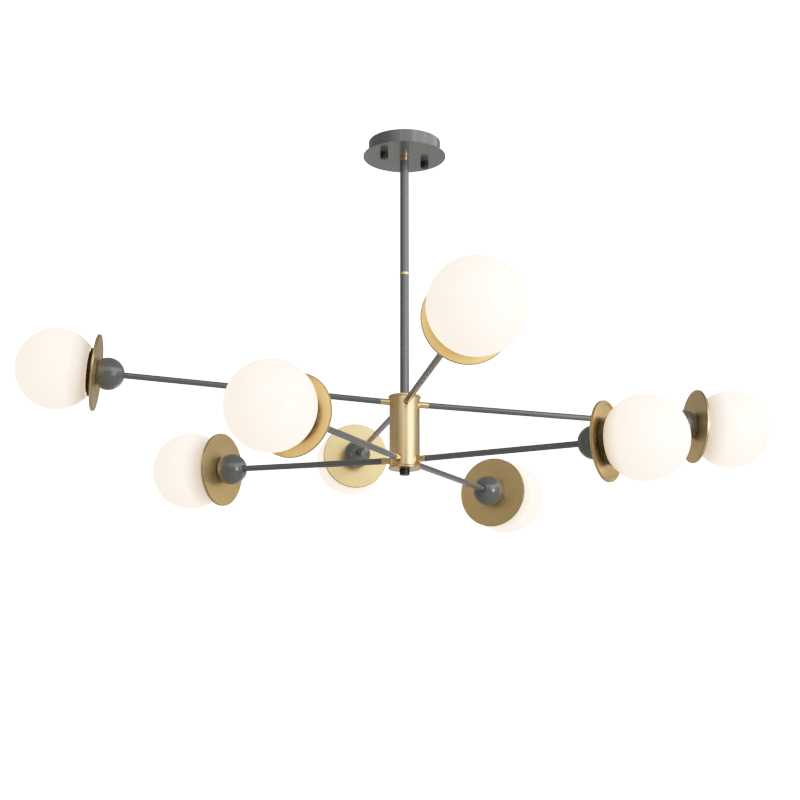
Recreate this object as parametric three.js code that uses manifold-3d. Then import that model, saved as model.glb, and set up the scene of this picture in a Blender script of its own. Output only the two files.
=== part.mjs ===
// A branch chandelier: a stem under a round canopy carries a brass hub, and eight arms on two
// levels each end in a ball, a brass disc and an opal glass globe.
// Millimetres, +Z up. The origin is on the ceiling, over the middle of the stem.
import * as THREE from "three";
import { mergeVertices } from "three/addons/utils/BufferGeometryUtils.js";
import Module from "manifold-3d";

const wasm = await Module();
wasm.setup();

// Clearances that every fit shares
const seatGap = 0.3;
const overrun = 3;

// Canopy: a drum against the ceiling and a wider plate that closes it from below
const drumRadius = 55.7;
const drumHeight = 22;
const drumWall = 1.2;
const drumRimWidth = 25.4;
const plateRadius = 63.8;
const plateThickness = 1.6;

// Ceiling bracket and the two studs that the plate hangs on
const bracketLength = 94;
const bracketWidth = 20;
const bracketThickness = 2;
const screwSpacing = 46;
const screwHoleRadius = 2.5;
const studSpacing = 73.4;
const studRadius = 2;
const studTurn = 31.8;

// Knurled cap nuts under the plate
const capNutRadius = 6.1;
const capNutHeight = 11;
const capNutRound = 2.2;
const capNutThreadDepth = 8;

// Stem: brass collar, two rods and the brass ring between them
const collarHeight = 6.3;
const stemCollarRadius = 7.35;
const stemNeckRadius = 5;
const stemNutRadius = 11;
const stemNutHeight = 3.5;
const rodRadius = 7.05;
const rodWall = 2.35;
const upperRodLength = 180.9;
const ringRadius = 7.35;
const ringHeight = 5;
const nippleLength = 29;
const nippleWall = 1.4;
const lowerRodLength = 188.6;
const rodEndThickness = 4;

// Hub: a brass sleeve clamped between the lower rod's shoulder and the nut under its cap
const hubRadius = 22.8;
const hubWall = 2.5;
const hubHeight = 111.4;
const hubRoof = 3;
const hubLipRadius = 24.4;
const hubLipHeight = 3.7;
const hubLipEdge = 0.9;
const hubGrooveDepth = 0.6;
const hubGrooveHeight = 1;
const capSpigotHeight = 2.4;
const capSpigotWall = 2;
const tailRadius = 4.9;
const tailWall = 1.9;
const tailThread = 6.5;
const wirePortRadius = 2.2;
const wirePortDrop = 12;
const bottomNutRadius = 7.85;
const bottomNutHeight = 9;
const bottomNutRound = 1.4;

// Arms, from the hub's axis outwards
const upperArmDrop = 11.8;
const armLevelGap = 85.8;
const upperReach = 515.5;
const lowerReach = 377.9;
const armHoleRadius = 5.4;
const lockNutRadius = 6.2;
const lockNutHeight = 3.5;
const lockNutClearance = 0.8;
const armCollarRadius = 4.95;
const armCollarBore = 1.8;
const armCollarReach = 13.2;
const armFlangeRadius = 5.4;
const armFlangeHeight = 1.6;
const armTubeRadius = 4.75;
const armTubeWall = 1.3;
const armSpigotLength = 10;
const armSpigotClearance = 0.45;

// Arm ends: ball, disc, gallery and globe, measured back from the globe's centre
const ballRadius = 24.3;
const ballFlatDistance = 15.2;
const ballGrip = 11;
const discRadius = 56.4;
const discThickness = 4;
const discEdge = 1.2;
const galleryHeight = 7.7;
const galleryBackRadius = 32;
const galleryFrontRadius = 36.2;
const galleryFloor = 2.6;
const gallerySpigotWall = 2;
const gallerySpigotHeight = 9.5;
const nippleBore = 2;
const holderRadius = 11;
const holderHeight = 19.5;
const globeRadius = 60;
const globeWall = 2.5;
const globeMouthRadius = 36;

// The arms as they hang: turn about the stem and rise above level, both in degrees
const upperArms = [
  { place: "upper_left", turn: 185.3, rise: 4.7 },
  { place: "upper_right", turn: 11.4, rise: -1.9 },
  { place: "upper_front", turn: 279.5, rise: -0.3 },
  { place: "upper_back", turn: 101, rise: 1.5 },
];
const lowerArms = [
  { place: "lower_left", turn: 153.7, rise: 2.4 },
  { place: "lower_right", turn: 330.6, rise: -0.9 },
  { place: "lower_front", turn: 243.2, rise: 0.5 },
  { place: "lower_back", turn: 63, rise: 0.5 },
];

// Sides of the round pieces
const canopySides = 40;
const hubSides = 32;
const stemSides = 20;
const nutSides = 14;
const armSides = 10;
const ballSides = 14;
const discSides = 24;
const globeSides = 16;
const ballArcSteps = 6;
const globeArcSteps = 7;

// Heights down the stem
const plateTop = -drumHeight;
const plateUnderside = plateTop - plateThickness;
const collarBottom = plateUnderside - collarHeight;
const upperRodTop = collarBottom - seatGap;
const ringTop = upperRodTop - upperRodLength;
const ringBottom = ringTop - ringHeight;
const hubTop = ringBottom - lowerRodLength;
const hubBottom = hubTop - hubHeight;
const upperLevel = hubTop - upperArmDrop;
const lowerLevel = upperLevel - armLevelGap;

// Fits worked out from the sizes above
const rodBore = rodRadius - rodWall;
const tailBore = tailRadius - tailWall;
const tailHole = tailRadius + seatGap;
const stemHole = stemNeckRadius + seatGap;
const studHole = studRadius + seatGap;
const hubBore = hubRadius - hubWall;
const armTubeBore = armTubeRadius - armTubeWall;
const armSocketRadius = armTubeRadius + seatGap;
const armSpigotRadius = armTubeBore - armSpigotClearance;
const armCollarEnd = hubRadius + armCollarReach;
const globeBore = globeRadius - globeWall;
const mouthDistance = legOf(globeRadius, globeMouthRadius);
const mouthBore = legOf(globeBore, mouthDistance);
const gallerySeat = -mouthDistance - seatGap;
const discFront = gallerySeat - galleryHeight;
const discBack = discFront - discThickness;
const ballFlat = discBack - seatGap;
const ballCentre = ballFlat - ballFlatDistance;
const armTubeGrip = -legOf(ballRadius, armSocketRadius) + ballGrip;

function legOf(hypotenuse, otherLeg) {
  return Math.sqrt(hypotenuse ** 2 - otherLeg ** 2);
}

function radians(degrees) {
  return THREE.MathUtils.degToRad(degrees);
}

// A closed turned solid about +Z. The outline lists [radius, height] with the outside going up.
function turned(outline, sides) {
  const points = outline.map(([radius, height]) => new THREE.Vector2(radius, height));
  const startsOnAxis = outline[0][0] === 0;
  if (!startsOnAxis) points.push(points[0].clone());
  const geometry = new THREE.LatheGeometry(points, sides);
  geometry.rotateX(Math.PI / 2);
  return geometry;
}

// Points of a circle about the origin, from one height up to another
function arcPoints(radius, lowHeight, highHeight, steps) {
  const lowAngle = Math.asin(lowHeight / radius);
  const highAngle = Math.asin(highHeight / radius);
  return Array.from({ length: steps + 1 }, (_, step) => {
    const angle = lowAngle + ((highAngle - lowAngle) * step) / steps;
    return [radius * Math.cos(angle), radius * Math.sin(angle)];
  });
}

function solidOf(geometry) {
  const bare = geometry.clone();
  bare.deleteAttribute("normal");
  bare.deleteAttribute("uv");
  const merged = mergeVertices(bare);
  const vertProperties = merged.attributes.position.array;
  const triVerts = new Uint32Array(merged.index.array);
  return new wasm.Manifold(new wasm.Mesh({ numProp: 3, vertProperties, triVerts }));
}

function geometryOf(solid) {
  const mesh = solid.getMesh();
  const geometry = new THREE.BufferGeometry();
  const position = new THREE.BufferAttribute(mesh.vertProperties, mesh.numProp);
  geometry.setAttribute("position", position);
  geometry.setIndex(new THREE.BufferAttribute(mesh.triVerts, 1));
  geometry.computeVertexNormals();
  return geometry;
}

function cut(geometry, tools) {
  return geometryOf(tools.reduce((solid, tool) => solid.subtract(solidOf(tool)), solidOf(geometry)));
}

function joined(first, others) {
  return geometryOf(others.reduce((solid, other) => solid.add(solidOf(other)), solidOf(first)));
}

// A round bar about +Z between two heights
function bar(radius, low, high, sides) {
  const geometry = new THREE.CylinderGeometry(radius, radius, high - low, sides);
  geometry.rotateX(Math.PI / 2);
  geometry.translate(0, 0, (low + high) / 2);
  return geometry;
}

function finish(color, roughness, metalness) {
  return () => new THREE.MeshStandardMaterial({ color, roughness, metalness });
}

const greyPaint = finish(0x6f7673, 0.4, 0.1);
const satinBrass = finish(0xb59a62, 0.3, 1);
const blackEnamel = finish(0x121110, 0.25, 0.2);
const zincSteel = finish(0xb4b6b8, 0.35, 1);

function opalGlass() {
  const material = finish(0xfbf3e6, 0.25, 0)();
  material.emissive = new THREE.Color(0xffe9cf);
  material.emissiveIntensity = 0.6;
  return material;
}

function piece(name, geometry, material) {
  const mesh = new THREE.Mesh(geometry, material());
  mesh.name = name;
  return mesh;
}

// The two stud places, along the bracket's own X
function atStuds(geometry) {
  return [-studSpacing / 2, studSpacing / 2].map((x) => geometry.clone().translate(x, 0, 0));
}

function studHoles() {
  const hole = bar(studHole, plateUnderside - overrun, overrun, nutSides);
  return atStuds(hole).map((tool) => tool.rotateZ(radians(studTurn)));
}

function ceilingBracket() {
  const strip = new THREE.BoxGeometry(bracketLength, bracketWidth, bracketThickness);
  strip.translate(0, 0, -bracketThickness / 2);
  const studEnd = plateUnderside - capNutThreadDepth + seatGap;
  const studs = atStuds(bar(studRadius, studEnd, -bracketThickness / 2, nutSides));
  const screwHole = bar(screwHoleRadius, -bracketThickness - overrun, overrun, nutSides);
  const screwPlaces = [-screwSpacing / 2, screwSpacing / 2];
  const screwHoles = screwPlaces.map((x) => screwHole.clone().translate(x, 0, 0));
  return piece("ceiling_bracket", cut(joined(strip, studs), screwHoles), zincSteel);
}

function canopyDrum() {
  const rimBore = drumRadius - drumRimWidth;
  const outline = [
    [rimBore, plateTop],
    [drumRadius, plateTop],
    [drumRadius, 0],
    [drumRadius - drumWall, 0],
    [drumRadius - drumWall, plateTop + drumWall],
    [rimBore, plateTop + drumWall],
  ];
  return piece("canopy_drum", cut(turned(outline, canopySides), studHoles()), greyPaint);
}

function canopyPlate() {
  const outline = [
    [stemHole, plateUnderside],
    [plateRadius, plateUnderside],
    [plateRadius, plateTop],
    [stemHole, plateTop],
  ];
  return piece("canopy_plate", cut(turned(outline, canopySides), studHoles()), greyPaint);
}

// A nut with a closed, rounded lower end and a blind thread from above, its top at height zero
function blindNut(radius, height, round, bore, depth) {
  const outline = [
    [0, -height],
    [radius - round, -height],
    [radius, -height + round],
    [radius, 0],
    [bore, 0],
    [bore, -depth],
    [0, -depth],
  ];
  return turned(outline, nutSides);
}

function capNut(name, side) {
  const shape = blindNut(capNutRadius, capNutHeight, capNutRound, studHole, capNutThreadDepth);
  const nut = piece(name, shape, blackEnamel);
  nut.position.set((side * studSpacing) / 2, 0, plateUnderside);
  return nut;
}

function stemCollar() {
  const outline = [
    [stemHole, collarBottom],
    [stemCollarRadius, collarBottom],
    [stemCollarRadius, plateUnderside],
    [stemHole, plateUnderside],
  ];
  return piece("stem_collar", turned(outline, stemSides), satinBrass);
}

// The upper rod: its neck runs up through collar and plate, and its lock nut rests on the plate
function upperRod() {
  const nutSeat = plateTop + seatGap;
  const outline = [
    [rodBore, ringTop],
    [rodRadius, ringTop],
    [rodRadius, upperRodTop],
    [stemNeckRadius, upperRodTop],
    [stemNeckRadius, nutSeat],
    [stemNutRadius, nutSeat],
    [stemNutRadius, nutSeat + stemNutHeight],
    [tailBore, nutSeat + stemNutHeight],
    [tailBore, upperRodTop - rodEndThickness],
    [rodBore, upperRodTop - rodEndThickness],
  ];
  return piece("upper_rod", turned(outline, stemSides), greyPaint);
}

// The brass ring between the rods, in one piece with the nipple that screws into both
function rodRing() {
  const nippleRadius = rodBore - seatGap;
  const nippleTop = ringTop + (nippleLength - ringHeight) / 2;
  const nippleBottom = nippleTop - nippleLength;
  const outline = [
    [nippleRadius - nippleWall, nippleBottom],
    [nippleRadius, nippleBottom],
    [nippleRadius, ringBottom],
    [ringRadius, ringBottom],
    [ringRadius, ringTop],
    [nippleRadius, ringTop],
    [nippleRadius, nippleTop],
    [nippleRadius - nippleWall, nippleTop],
  ];
  return piece("rod_ring", turned(outline, stemSides), satinBrass);
}

// The lower rod: its shoulder sits on the hub's roof and its threaded tail runs down to the nut
function lowerRod() {
  const portHeight = hubTop - hubRoof - wirePortDrop;
  const boreBottom = portHeight - wirePortRadius;
  const outline = [
    [0, hubBottom - tailThread],
    [tailRadius, hubBottom - tailThread],
    [tailRadius, hubTop],
    [rodRadius, hubTop],
    [rodRadius, ringBottom],
    [rodBore, ringBottom],
    [rodBore, hubTop + rodEndThickness],
    [tailBore, hubTop + rodEndThickness],
    [tailBore, boreBottom],
    [0, boreBottom],
  ];
  const port = bar(wirePortRadius, 0, tailRadius + overrun, nutSides);
  port.rotateY(Math.PI / 2);
  port.translate(0, 0, portHeight);
  return piece("lower_rod", cut(turned(outline, stemSides), [port]), greyPaint);
}

// Turns a shape that stands on +Z to lie along an arm
function armMatrix(arm, level) {
  const lean = Math.PI / 2 - radians(arm.rise);
  const euler = new THREE.Euler(0, lean, radians(arm.turn), "ZYX");
  return new THREE.Matrix4().makeRotationFromEuler(euler).setPosition(0, 0, level);
}

function armHoles(arms, level) {
  const hole = bar(armHoleRadius, 0, hubRadius + overrun, nutSides);
  return arms.map((arm) => hole.clone().applyMatrix4(armMatrix(arm, level)));
}

function hubSleeve() {
  const lipBottom = hubTop - hubLipHeight;
  const grooveBottom = lipBottom - hubGrooveHeight;
  const sleeveBottom = hubBottom + hubLipHeight;
  const outline = [
    [hubBore, sleeveBottom],
    [hubRadius, sleeveBottom],
    [hubRadius, grooveBottom],
    [hubRadius - hubGrooveDepth, grooveBottom],
    [hubRadius - hubGrooveDepth, lipBottom],
    [hubLipRadius, lipBottom],
    [hubLipRadius, hubTop - hubLipEdge],
    [hubLipRadius - hubLipEdge, hubTop],
    [tailHole, hubTop],
    [tailHole, hubTop - hubRoof],
    [hubBore, hubTop - hubRoof],
  ];
  const holes = [...armHoles(upperArms, upperLevel), ...armHoles(lowerArms, lowerLevel)];
  return piece("hub_sleeve", cut(turned(outline, hubSides), holes), satinBrass);
}

function hubBottomCap() {
  const lipTop = hubBottom + hubLipHeight;
  const spigotRadius = hubBore - seatGap;
  const spigotBore = spigotRadius - capSpigotWall;
  const outline = [
    [tailHole, hubBottom],
    [hubLipRadius - hubLipEdge, hubBottom],
    [hubLipRadius, hubBottom + hubLipEdge],
    [hubLipRadius, lipTop],
    [spigotRadius, lipTop],
    [spigotRadius, lipTop + capSpigotHeight],
    [spigotBore, lipTop + capSpigotHeight],
    [spigotBore, lipTop],
    [tailHole, lipTop],
  ];
  return piece("hub_bottom_cap", turned(outline, hubSides), satinBrass);
}

function bottomNut() {
  const depth = tailThread + seatGap;
  const shape = blindNut(bottomNutRadius, bottomNutHeight, bottomNutRound, tailHole, depth);
  const nut = piece("bottom_nut", shape, blackEnamel);
  nut.position.z = hubBottom;
  return nut;
}

// The brass collar in the hub wall: lock nut inside, flange and tube spigot outside
function armCollar() {
  const flat = hubBore * Math.cos(Math.PI / hubSides);
  const nutFace = legOf(flat, lockNutRadius) - lockNutClearance;
  const nutBack = nutFace - lockNutHeight;
  const flangeBack = armCollarEnd - armFlangeHeight;
  const spigotEnd = armCollarEnd + armSpigotLength;
  const outline = [
    [armCollarBore, nutBack],
    [lockNutRadius, nutBack],
    [lockNutRadius, nutFace],
    [armCollarRadius, nutFace],
    [armCollarRadius, flangeBack],
    [armFlangeRadius, flangeBack],
    [armFlangeRadius, armCollarEnd],
    [armSpigotRadius, armCollarEnd],
    [armSpigotRadius, spigotEnd],
    [armCollarBore, spigotEnd],
  ];
  return turned(outline, armSides);
}

function armTube(reach) {
  const start = armCollarEnd + seatGap;
  const end = reach + ballCentre + armTubeGrip;
  const outline = [
    [armTubeBore, start],
    [armTubeRadius, start],
    [armTubeRadius, end],
    [armTubeBore, end],
  ];
  return turned(outline, armSides);
}

// The ball, bored through for the arm tube and the gallery's nipple, and cut flat for the disc
function ball() {
  const rear = -legOf(ballRadius, armSocketRadius);
  const flatEdge = arcPoints(ballRadius, rear, ballFlatDistance, ballArcSteps);
  return turned([...flatEdge, [armSocketRadius, ballFlatDistance]], ballSides);
}

// The disc, its front face at height zero
function disc() {
  const outline = [
    [armSocketRadius, -discThickness],
    [discRadius - discEdge, -discThickness],
    [discRadius, -discThickness + discEdge],
    [discRadius, -discEdge],
    [discRadius - discEdge, 0],
    [armSocketRadius, 0],
  ];
  return turned(outline, discSides);
}

// The gallery: lamp holder, cup and nipple in one moulding, its back face at height zero
function gallery() {
  const floor = galleryFloor;
  const nippleRadius = armSocketRadius - seatGap;
  const nippleEnd = discBack - discFront - ballGrip;
  const spigotRadius = mouthBore * Math.cos(Math.PI / globeSides) - seatGap;
  const cupRadius = spigotRadius - gallerySpigotWall;
  const rim = galleryHeight + gallerySpigotHeight;
  const outline = [
    [0, floor],
    [nippleBore, floor],
    [nippleBore, nippleEnd],
    [nippleRadius, nippleEnd],
    [nippleRadius, seatGap],
    [galleryBackRadius, seatGap],
    [galleryFrontRadius, galleryHeight],
    [spigotRadius, galleryHeight],
    [spigotRadius, rim],
    [cupRadius, rim],
    [cupRadius, floor],
    [holderRadius, floor],
    [holderRadius, holderHeight],
    [0, holderHeight],
  ];
  return turned(outline, globeSides);
}

// The globe about its centre, its mouth facing back along the arm
function globe() {
  const outside = arcPoints(globeRadius, -mouthDistance, globeRadius, globeArcSteps);
  const inside = arcPoints(globeBore, -mouthDistance, globeBore, globeArcSteps - 1);
  outside[outside.length - 1][0] = 0;
  inside[inside.length - 1][0] = 0;
  const outline = [...inside.reverse(), ...outside];
  return turned(outline, globeSides);
}

// One arm with everything on it, in a group that lies along the arm
function armAssembly(arm, level, reach) {
  const parts = [
    [`arm_collar_${arm.place}`, armCollar(), satinBrass, 0],
    [`arm_tube_${arm.place}`, armTube(reach), greyPaint, 0],
    [`ball_${arm.place}`, ball(), greyPaint, reach + ballCentre],
    [`disc_${arm.place}`, disc(), satinBrass, reach + discFront],
    [`gallery_${arm.place}`, gallery(), blackEnamel, reach + discFront],
    [`globe_${arm.place}`, globe(), opalGlass, reach],
  ];
  const group = new THREE.Group();
  group.applyMatrix4(armMatrix(arm, level));
  for (const [name, geometry, material, station] of parts) {
    const mesh = piece(name, geometry, material);
    mesh.position.z = station;
    group.add(mesh);
  }
  return group;
}

const studLine = new THREE.Group();
studLine.rotation.z = radians(studTurn);
studLine.add(ceilingBracket(), capNut("cap_nut_left", -1), capNut("cap_nut_right", 1));

const chandelier = new THREE.Group();
chandelier.add(studLine, canopyDrum(), canopyPlate(), stemCollar());
chandelier.add(upperRod(), rodRing(), lowerRod(), hubSleeve(), hubBottomCap(), bottomNut());
for (const arm of upperArms) chandelier.add(armAssembly(arm, upperLevel, upperReach));
for (const arm of lowerArms) chandelier.add(armAssembly(arm, lowerLevel, lowerReach));

export default chandelier;
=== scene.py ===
import math

import bmesh
import bpy
from mathutils import Matrix, Vector


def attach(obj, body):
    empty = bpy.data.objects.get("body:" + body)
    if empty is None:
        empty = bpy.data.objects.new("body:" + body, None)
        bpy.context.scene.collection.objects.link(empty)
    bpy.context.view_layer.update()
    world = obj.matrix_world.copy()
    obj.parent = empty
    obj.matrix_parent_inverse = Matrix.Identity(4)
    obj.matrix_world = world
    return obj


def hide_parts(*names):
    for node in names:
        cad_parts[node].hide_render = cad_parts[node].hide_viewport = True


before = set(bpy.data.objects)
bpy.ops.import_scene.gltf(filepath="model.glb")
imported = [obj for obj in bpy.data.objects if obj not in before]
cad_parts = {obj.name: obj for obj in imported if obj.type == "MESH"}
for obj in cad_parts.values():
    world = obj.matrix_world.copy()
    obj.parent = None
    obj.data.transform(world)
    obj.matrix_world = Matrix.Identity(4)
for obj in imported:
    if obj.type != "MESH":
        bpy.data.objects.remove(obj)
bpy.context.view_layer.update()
mm = 0.001
print("frame loaded:", len(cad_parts), "nodes")


# Camera: the photograph's view, from below the arms and looking up a little
view = {
    "place": (0.00097, -2.27068, -0.95700), "pitch": 103.5276, "turn": 0.1971,
    "lens": 70.40, "sensor": 36,
}

bpy.ops.object.select_all(action="DESELECT")
bpy.ops.object.camera_add(
    location=view["place"],
    rotation=(math.radians(view["pitch"]), 0, math.radians(view["turn"])),
)
camera = bpy.context.object
camera.name = "photoCamera"
camera.data.sensor_width = view["sensor"]
camera.data.lens = view["lens"]
bpy.context.scene.camera = camera


# Film: bright parts roll off softly towards white, as film does, instead of clipping
film = {"white": 2.4, "steps": (0.1, 0.25, 0.45, 0.7)}


def setFilm():
    def response(share):
        return (1 - math.exp(-share * film["white"])) / (1 - math.exp(-film["white"]))

    look = bpy.context.scene.view_settings
    look.view_transform = "Standard"
    look.use_curve_mapping = True
    look.curve_mapping.white_level = [film["white"]] * 3
    curve = look.curve_mapping.curves[3]  # the one for all three colours
    for share in film["steps"]:
        curve.points.new(share, response(share))
    look.curve_mapping.update()


# Studio: white behind the object, a dim room all round it, softboxes and a pale floor
studio = {
    "backdrop": (3.2, 3.2, 3.2),
    "surround": (0.285, 0.277, 0.264),
    "floorHeight": -2.4,
    "floorWidth": 9.0,
}
floorFinish = {
    "colours": ((0.776, 0.7663, 0.7469), (0.80, 0.79, 0.77)), "patchScale": 1.5, "roughness": (0.8, 0.9),
}
# aim is where the light stands, seen from the hub: turn to the camera's right, and rise
softboxes = {
    "keySoftbox": {"turn": 50, "rise": 18, "distance": 2.8, "width": 2.2, "height": 1.9, "glow": 2.3},
    "coreSoftbox": {"turn": 45, "rise": -7, "distance": 2.7, "width": 0.7, "height": 0.7, "glow": 15},
    "bridgeSoftbox": {"turn": 11, "rise": 24, "distance": 2.8, "width": 2.3, "height": 1.45, "glow": 1.2},
    "frontSoftbox": {"turn": -24, "rise": 24, "distance": 2.8, "width": 1.5, "height": 1.1, "glow": 0.7},
    "sideSoftbox": {"turn": 98, "rise": 28, "distance": 2.8, "width": 2.6, "height": 1.0, "glow": 1.6},
    "rearSoftbox": {"turn": 142, "rise": -20, "distance": 2.8, "width": 2.8, "height": 1.1, "glow": 0.6},
    "backSoftbox": {"turn": 180, "rise": -17, "distance": 2.8, "width": 2.6, "height": 1.1, "glow": 0.3},
}
hubCentre = Vector((0, 0, -0.46))


def buildStudio():
    world = bpy.data.worlds.new("studio")
    bpy.context.scene.world = world
    world.use_nodes = True
    nodes, links = world.node_tree.nodes, world.node_tree.links
    nodes.clear()
    output = nodes.new("ShaderNodeOutputWorld")
    mix = nodes.new("ShaderNodeMixShader")
    seen = nodes.new("ShaderNodeBackground")
    felt = nodes.new("ShaderNodeBackground")
    lightPath = nodes.new("ShaderNodeLightPath")
    seen.inputs["Color"].default_value = (*studio["backdrop"], 1)
    felt.inputs["Color"].default_value = (*studio["surround"], 1)
    links.new(lightPath.outputs["Is Camera Ray"], mix.inputs["Fac"])
    links.new(felt.outputs["Background"], mix.inputs[1])
    links.new(seen.outputs["Background"], mix.inputs[2])
    links.new(mix.outputs["Shader"], output.inputs["Surface"])

    for name, box in softboxes.items():
        turn, rise = math.radians(box["turn"]), math.radians(box["rise"])
        away = Vector((math.sin(turn) * math.cos(rise), -math.cos(turn) * math.cos(rise), math.sin(rise)))
        bpy.ops.object.light_add(type="AREA", location=hubCentre + away * box["distance"])
        light = bpy.context.object
        light.name = name
        light.rotation_euler = (-away).to_track_quat("-Z", "Y").to_euler()
        light.data.shape = "RECTANGLE"
        light.data.size = box["width"]
        light.data.size_y = box["height"]
        light.data.energy = math.pi * box["width"] * box["height"] * box["glow"]

    bpy.ops.mesh.primitive_plane_add(size=studio["floorWidth"], location=(0, 0, studio["floorHeight"]))
    floor = bpy.context.object
    floor.name = "floor"
    material, shader, nodes, links = newMaterial("paleFloor")
    links.new(addPatches(nodes, links, shader, floorFinish), shader.inputs["Base Color"])
    floor.data.materials.append(material)


# Shader groups that several finishes share; their depths are in millimetres
patterns = {
    "patchDetail": 4, "colourSpread": (0.32, 0.68), "roughnessSpread": (0.3, 0.7),
    "grainDetail": 2, "grainDepth": 0.2, "lineDetail": 3, "lineDepth": 0.1,
}


def newGroup(name, inputs, outputs):
    group = bpy.data.node_groups.new(name, "ShaderNodeTree")
    for side, sockets in (("INPUT", inputs), ("OUTPUT", outputs)):
        for label, kind in sockets.items():
            group.interface.new_socket(name=label, in_out=side, socket_type="NodeSocket" + kind)
    start = group.nodes.new("NodeGroupInput")
    end = group.nodes.new("NodeGroupOutput")
    return group, group.nodes, group.links, start, end


def addGroup(nodes, group):
    node = nodes.new("ShaderNodeGroup")
    node.node_tree = group
    return node


def addMath(nodes, links, operation, *values):
    node = nodes.new("ShaderNodeMath")
    node.operation = operation
    for index, value in enumerate(values):
        if isinstance(value, (int, float)):
            node.inputs[index].default_value = value
        else:
            links.new(value, node.inputs[index])
    return node.outputs[0]


def addRange(nodes, links, value, low, high):
    # runs from 0 at low to 1 at high
    node = nodes.new("ShaderNodeMapRange")
    node.inputs["From Min"].default_value = low
    node.inputs["From Max"].default_value = high
    links.new(value, node.inputs["Value"])
    return node


def buildFinishPatches():
    # cloudy patches that shift the colour and the roughness a little
    group, nodes, links, start, end = newGroup(
        "finishPatches",
        {
            "Vector": "Vector", "Colour A": "Color", "Colour B": "Color",
            "Patch Scale": "Float", "Roughness Low": "Float", "Roughness High": "Float",
        },
        {"Colour": "Color", "Roughness": "Float"},
    )
    noise = nodes.new("ShaderNodeTexNoise")
    noise.inputs["Detail"].default_value = patterns["patchDetail"]
    links.new(start.outputs["Vector"], noise.inputs["Vector"])
    links.new(start.outputs["Patch Scale"], noise.inputs["Scale"])
    spread = addRange(nodes, links, noise.outputs["Fac"], *patterns["colourSpread"])
    mix = nodes.new("ShaderNodeMix")
    mix.data_type = "RGBA"
    links.new(spread.outputs["Result"], mix.inputs["Factor"])
    links.new(start.outputs["Colour A"], mix.inputs["A"])
    links.new(start.outputs["Colour B"], mix.inputs["B"])
    links.new(mix.outputs["Result"], end.inputs["Colour"])
    rough = addRange(nodes, links, noise.outputs["Fac"], *patterns["roughnessSpread"])
    links.new(start.outputs["Roughness Low"], rough.inputs["To Min"])
    links.new(start.outputs["Roughness High"], rough.inputs["To Max"])
    links.new(rough.outputs["Result"], end.inputs["Roughness"])
    return group


def buildFineGrain():
    # the fine orange peel of sprayed paint and the grain of a moulding
    group, nodes, links, start, end = newGroup(
        "fineGrain",
        {"Vector": "Vector", "Grain Scale": "Float", "Strength": "Float"},
        {"Normal": "Vector"},
    )
    noise = nodes.new("ShaderNodeTexNoise")
    noise.inputs["Detail"].default_value = patterns["grainDetail"]
    links.new(start.outputs["Vector"], noise.inputs["Vector"])
    links.new(start.outputs["Grain Scale"], noise.inputs["Scale"])
    bump = nodes.new("ShaderNodeBump")
    bump.inputs["Distance"].default_value = patterns["grainDepth"] * mm
    links.new(start.outputs["Strength"], bump.inputs["Strength"])
    links.new(noise.outputs["Fac"], bump.inputs["Height"])
    links.new(bump.outputs["Normal"], end.inputs["Normal"])
    return group


def turnedPlace(nodes, links):
    # a point's place about the axis of its own piece, as finishShape noted it
    turning = nodes.new("ShaderNodeAttribute")
    turning.attribute_name = "turning"
    split = nodes.new("ShaderNodeSeparateXYZ")
    links.new(turning.outputs["Vector"], split.inputs["Vector"])
    return split


def buildTurnedLines():
    # fine lines round a turned piece, with the radius and height that they were drawn from
    group, nodes, links, start, end = newGroup(
        "turnedLines",
        {"Line Scale": "Float", "Strength": "Float"},
        {"Normal": "Vector", "Mask": "Float", "Radius": "Float", "Height": "Float"},
    )
    split = turnedPlace(nodes, links)
    squares = [
        addMath(nodes, links, "MULTIPLY", split.outputs[axis], split.outputs[axis]) for axis in ("X", "Y")
    ]
    radius = addMath(nodes, links, "SQRT", addMath(nodes, links, "ADD", *squares))
    line = nodes.new("ShaderNodeCombineXYZ")
    links.new(radius, line.inputs["X"])
    links.new(split.outputs["Z"], line.inputs["Z"])
    noise = nodes.new("ShaderNodeTexNoise")
    noise.inputs["Detail"].default_value = patterns["lineDetail"]
    links.new(line.outputs["Vector"], noise.inputs["Vector"])
    links.new(start.outputs["Line Scale"], noise.inputs["Scale"])
    bump = nodes.new("ShaderNodeBump")
    bump.inputs["Distance"].default_value = patterns["lineDepth"] * mm
    links.new(start.outputs["Strength"], bump.inputs["Strength"])
    links.new(noise.outputs["Fac"], bump.inputs["Height"])
    links.new(bump.outputs["Normal"], end.inputs["Normal"])
    links.new(noise.outputs["Fac"], end.inputs["Mask"])
    links.new(radius, end.inputs["Radius"])
    links.new(split.outputs["Z"], end.inputs["Height"])
    return group


def newMaterial(name):
    material = bpy.data.materials.new(name)
    material.use_nodes = True
    nodes, links = material.node_tree.nodes, material.node_tree.links
    return material, nodes["Principled BSDF"], nodes, links


def objectPlace(nodes):
    return nodes.new("ShaderNodeTexCoord").outputs["Object"]


def addPatches(nodes, links, shader, finish):
    patches = addGroup(nodes, finishPatches)
    patches.inputs["Colour A"].default_value = (*finish["colours"][0], 1)
    patches.inputs["Colour B"].default_value = (*finish["colours"][1], 1)
    patches.inputs["Patch Scale"].default_value = finish["patchScale"]
    patches.inputs["Roughness Low"].default_value = finish["roughness"][0]
    patches.inputs["Roughness High"].default_value = finish["roughness"][1]
    links.new(objectPlace(nodes), patches.inputs["Vector"])
    links.new(patches.outputs["Roughness"], shader.inputs["Roughness"])
    return patches.outputs["Colour"]


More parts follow.
